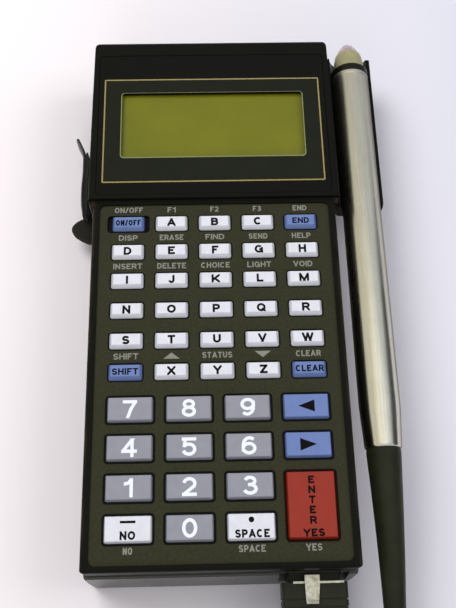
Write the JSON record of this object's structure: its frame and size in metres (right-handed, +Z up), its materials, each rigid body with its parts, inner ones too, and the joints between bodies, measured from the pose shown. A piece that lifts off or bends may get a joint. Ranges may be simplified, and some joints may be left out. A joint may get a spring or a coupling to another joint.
{
  "type": "handheld data terminal",
  "caption": "Handheld data terminal with a display head, a letter and number keypad, and a barcode wand in a side cradle on its own coiled cord.",
  "frame": {"origin": "middle of the casing's back face, which lies on the table", "axes": "+X to the right of a person who reads it, +Y towards the display end, +Z up out of the keys"},
  "size_m": [0.1332, 0.2983, 0.028],
  "materials": {
    "front_casing": "fine-textured black moulding",
    "rear_casing": "textured black moulding, slightly lighter",
    "bezel": "smooth black plate with a printed line",
    "lcd": "olive reflective display",
    "board": "green laminate",
    "cells": "sleeved cells",
    "cradle": "black moulding",
    "wand_tube": "polished steel tube",
    "boot_rubber": "matte black rubber",
    "plug_plastic": "black moulding with grip grooves",
    "webbing": "black woven webbing",
    "cord_jacket": "matte black jacket",
    "white_key": "off-white moulding",
    "grey_key": "grey moulding",
    "blue_key": "blue moulding",
    "red_key": "red moulding"
  },
  "bodies": {
    "casing": {"front_shell": "front_casing", "rear_shell": "rear_casing", "display_bezel": "bezel", "lcd_module": "lcd", "circuit_board": "board", "battery_cells": "cells", "wand_cradle": "cradle", "data_plug": "plug_plastic", "hand_strap": "webbing", "cord_plug_lead": "cord_jacket", "cord_coil": "cord_jacket", "cord_wand_lead": "cord_jacket"},
    "battery_door": {"battery_door": "rear_casing"},
    "wand": {"wand_barrel": "wand_tube", "wand_boot": "boot_rubber"},
    "key_on_off": {"key_on_off": "blue_key"},
    "key_a": {"key_a": "white_key"},
    "key_b": {"key_b": "white_key"},
    "key_c": {"key_c": "white_key"},
    "key_end": {"key_end": "blue_key"},
    "key_d": {"key_d": "white_key"},
    "key_e": {"key_e": "white_key"},
    "key_f": {"key_f": "white_key"},
    "key_g": {"key_g": "white_key"},
    "key_h": {"key_h": "white_key"},
    "key_i": {"key_i": "white_key"},
    "key_j": {"key_j": "white_key"},
    "key_k": {"key_k": "white_key"},
    "key_l": {"key_l": "white_key"},
    "key_m": {"key_m": "white_key"},
    "key_n": {"key_n": "white_key"},
    "key_o": {"key_o": "white_key"},
    "key_p": {"key_p": "white_key"},
    "key_q": {"key_q": "white_key"},
    "key_r": {"key_r": "white_key"},
    "key_s": {"key_s": "white_key"},
    "key_t": {"key_t": "white_key"},
    "key_u": {"key_u": "white_key"},
    "key_v": {"key_v": "white_key"},
    "key_w": {"key_w": "white_key"},
    "key_shift": {"key_shift": "blue_key"},
    "key_x": {"key_x": "white_key"},
    "key_y": {"key_y": "white_key"},
    "key_z": {"key_z": "white_key"},
    "key_clear": {"key_clear": "blue_key"},
    "key_7": {"key_7": "grey_key"},
    "key_8": {"key_8": "grey_key"},
    "key_9": {"key_9": "grey_key"},
    "key_left": {"key_left": "blue_key"},
    "key_4": {"key_4": "grey_key"},
    "key_5": {"key_5": "grey_key"},
    "key_6": {"key_6": "grey_key"},
    "key_right": {"key_right": "blue_key"},
    "key_1": {"key_1": "grey_key"},
    "key_2": {"key_2": "grey_key"},
    "key_3": {"key_3": "grey_key"},
    "key_enter": {"key_enter": "red_key"},
    "key_no": {"key_no": "white_key"},
    "key_0": {"key_0": "grey_key"},
    "key_space": {"key_space": "white_key"}
  },
  "joints": [
    {"name": "wand_lift", "type": "slide", "parent": "casing", "child": "wand", "axis": [0, 0, 1], "range_m": [0, 0.03]},
    {"name": "door_slide", "type": "slide", "parent": "casing", "child": "battery_door", "axis": [0, -1, 0], "range_m": [0, 0.054]},
    {"name": "press_on_off", "type": "slide", "parent": "casing", "child": "key_on_off", "axis": [0, 0, -1], "range_m": [0, 0.001], "stiffness_N_per_m": 300, "springref_m": -0.0006},
    {"name": "press_a", "type": "slide", "parent": "casing", "child": "key_a", "axis": [0, 0, -1], "range_m": [0, 0.001], "stiffness_N_per_m": 300, "springref_m": -0.0006},
    {"name": "press_b", "type": "slide", "parent": "casing", "child": "key_b", "axis": [0, 0, -1], "range_m": [0, 0.001], "stiffness_N_per_m": 300, "springref_m": -0.0006},
    {"name": "press_c", "type": "slide", "parent": "casing", "child": "key_c", "axis": [0, 0, -1], "range_m": [0, 0.001], "stiffness_N_per_m": 300, "springref_m": -0.0006},
    {"name": "press_end", "type": "slide", "parent": "casing", "child": "key_end", "axis": [0, 0, -1], "range_m": [0, 0.001], "stiffness_N_per_m": 300, "springref_m": -0.0006},
    {"name": "press_d", "type": "slide", "parent": "casing", "child": "key_d", "axis": [0, 0, -1], "range_m": [0, 0.001], "stiffness_N_per_m": 300, "springref_m": -0.0006},
    {"name": "press_e", "type": "slide", "parent": "casing", "child": "key_e", "axis": [0, 0, -1], "range_m": [0, 0.001], "stiffness_N_per_m": 300, "springref_m": -0.0006},
    {"name": "press_f", "type": "slide", "parent": "casing", "child": "key_f", "axis": [0, 0, -1], "range_m": [0, 0.001], "stiffness_N_per_m": 300, "springref_m": -0.0006},
    {"name": "press_g", "type": "slide", "parent": "casing", "child": "key_g", "axis": [0, 0, -1], "range_m": [0, 0.001], "stiffness_N_per_m": 300, "springref_m": -0.0006},
    {"name": "press_h", "type": "slide", "parent": "casing", "child": "key_h", "axis": [0, 0, -1], "range_m": [0, 0.001], "stiffness_N_per_m": 300, "springref_m": -0.0006},
    {"name": "press_i", "type": "slide", "parent": "casing", "child": "key_i", "axis": [0, 0, -1], "range_m": [0, 0.001], "stiffness_N_per_m": 300, "springref_m": -0.0006},
    {"name": "press_j", "type": "slide", "parent": "casing", "child": "key_j", "axis": [0, 0, -1], "range_m": [0, 0.001], "stiffness_N_per_m": 300, "springref_m": -0.0006},
    {"name": "press_k", "type": "slide", "parent": "casing", "child": "key_k", "axis": [0, 0, -1], "range_m": [0, 0.001], "stiffness_N_per_m": 300, "springref_m": -0.0006},
    {"name": "press_l", "type": "slide", "parent": "casing", "child": "key_l", "axis": [0, 0, -1], "range_m": [0, 0.001], "stiffness_N_per_m": 300, "springref_m": -0.0006},
    {"name": "press_m", "type": "slide", "parent": "casing", "child": "key_m", "axis": [0, 0, -1], "range_m": [0, 0.001], "stiffness_N_per_m": 300, "springref_m": -0.0006},
    {"name": "press_n", "type": "slide", "parent": "casing", "child": "key_n", "axis": [0, 0, -1], "range_m": [0, 0.001], "stiffness_N_per_m": 300, "springref_m": -0.0006},
    {"name": "press_o", "type": "slide", "parent": "casing", "child": "key_o", "axis": [0, 0, -1], "range_m": [0, 0.001], "stiffness_N_per_m": 300, "springref_m": -0.0006},
    {"name": "press_p", "type": "slide", "parent": "casing", "child": "key_p", "axis": [0, 0, -1], "range_m": [0, 0.001], "stiffness_N_per_m": 300, "springref_m": -0.0006},
    {"name": "press_q", "type": "slide", "parent": "casing", "child": "key_q", "axis": [0, 0, -1], "range_m": [0, 0.001], "stiffness_N_per_m": 300, "springref_m": -0.0006},
    {"name": "press_r", "type": "slide", "parent": "casing", "child": "key_r", "axis": [0, 0, -1], "range_m": [0, 0.001], "stiffness_N_per_m": 300, "springref_m": -0.0006},
    {"name": "press_s", "type": "slide", "parent": "casing", "child": "key_s", "axis": [0, 0, -1], "range_m": [0, 0.001], "stiffness_N_per_m": 300, "springref_m": -0.0006},
    {"name": "press_t", "type": "slide", "parent": "casing", "child": "key_t", "axis": [0, 0, -1], "range_m": [0, 0.001], "stiffness_N_per_m": 300, "springref_m": -0.0006},
    {"name": "press_u", "type": "slide", "parent": "casing", "child": "key_u", "axis": [0, 0, -1], "range_m": [0, 0.001], "stiffness_N_per_m": 300, "springref_m": -0.0006},
    {"name": "press_v", "type": "slide", "parent": "casing", "child": "key_v", "axis": [0, 0, -1], "range_m": [0, 0.001], "stiffness_N_per_m": 300, "springref_m": -0.0006},
    {"name": "press_w", "type": "slide", "parent": "casing", "child": "key_w", "axis": [0, 0, -1], "range_m": [0, 0.001], "stiffness_N_per_m": 300, "springref_m": -0.0006},
    {"name": "press_shift", "type": "slide", "parent": "casing", "child": "key_shift", "axis": [0, 0, -1], "range_m": [0, 0.001], "stiffness_N_per_m": 300, "springref_m": -0.0006},
    {"name": "press_x", "type": "slide", "parent": "casing", "child": "key_x", "axis": [0, 0, -1], "range_m": [0, 0.001], "stiffness_N_per_m": 300, "springref_m": -0.0006},
    {"name": "press_y", "type": "slide", "parent": "casing", "child": "key_y", "axis": [0, 0, -1], "range_m": [0, 0.001], "stiffness_N_per_m": 300, "springref_m": -0.0006},
    {"name": "press_z", "type": "slide", "parent": "casing", "child": "key_z", "axis": [0, 0, -1], "range_m": [0, 0.001], "stiffness_N_per_m": 300, "springref_m": -0.0006},
    {"name": "press_clear", "type": "slide", "parent": "casing", "child": "key_clear", "axis": [0, 0, -1], "range_m": [0, 0.001], "stiffness_N_per_m": 300, "springref_m": -0.0006},
    {"name": "press_7", "type": "slide", "parent": "casing", "child": "key_7", "axis": [0, 0, -1], "range_m": [0, 0.001], "stiffness_N_per_m": 300, "springref_m": -0.0006},
    {"name": "press_8", "type": "slide", "parent": "casing", "child": "key_8", "axis": [0, 0, -1], "range_m": [0, 0.001], "stiffness_N_per_m": 300, "springref_m": -0.0006},
    {"name": "press_9", "type": "slide", "parent": "casing", "child": "key_9", "axis": [0, 0, -1], "range_m": [0, 0.001], "stiffness_N_per_m": 300, "springref_m": -0.0006},
    {"name": "press_left", "type": "slide", "parent": "casing", "child": "key_left", "axis": [0, 0, -1], "range_m": [0, 0.001], "stiffness_N_per_m": 300, "springref_m": -0.0006},
    {"name": "press_4", "type": "slide", "parent": "casing", "child": "key_4", "axis": [0, 0, -1], "range_m": [0, 0.001], "stiffness_N_per_m": 300, "springref_m": -0.0006},
    {"name": "press_5", "type": "slide", "parent": "casing", "child": "key_5", "axis": [0, 0, -1], "range_m": [0, 0.001], "stiffness_N_per_m": 300, "springref_m": -0.0006},
    {"name": "press_6", "type": "slide", "parent": "casing", "child": "key_6", "axis": [0, 0, -1], "range_m": [0, 0.001], "stiffness_N_per_m": 300, "springref_m": -0.0006},
    {"name": "press_right", "type": "slide", "parent": "casing", "child": "key_right", "axis": [0, 0, -1], "range_m": [0, 0.001], "stiffness_N_per_m": 300, "springref_m": -0.0006},
    {"name": "press_1", "type": "slide", "parent": "casing", "child": "key_1", "axis": [0, 0, -1], "range_m": [0, 0.001], "stiffness_N_per_m": 300, "springref_m": -0.0006},
    {"name": "press_2", "type": "slide", "parent": "casing", "child": "key_2", "axis": [0, 0, -1], "range_m": [0, 0.001], "stiffness_N_per_m": 300, "springref_m": -0.0006},
    {"name": "press_3", "type": "slide", "parent": "casing", "child": "key_3", "axis": [0, 0, -1], "range_m": [0, 0.001], "stiffness_N_per_m": 300, "springref_m": -0.0006},
    {"name": "press_enter", "type": "slide", "parent": "casing", "child": "key_enter", "axis": [0, 0, -1], "range_m": [0, 0.001], "stiffness_N_per_m": 300, "springref_m": -0.0006},
    {"name": "press_no", "type": "slide", "parent": "casing", "child": "key_no", "axis": [0, 0, -1], "range_m": [0, 0.001], "stiffness_N_per_m": 300, "springref_m": -0.0006},
    {"name": "press_0", "type": "slide", "parent": "casing", "child": "key_0", "axis": [0, 0, -1], "range_m": [0, 0.001], "stiffness_N_per_m": 300, "springref_m": -0.0006},
    {"name": "press_space", "type": "slide", "parent": "casing", "child": "key_space", "axis": [0, 0, -1], "range_m": [0, 0.001], "stiffness_N_per_m": 300, "springref_m": -0.0006}
  ]
}
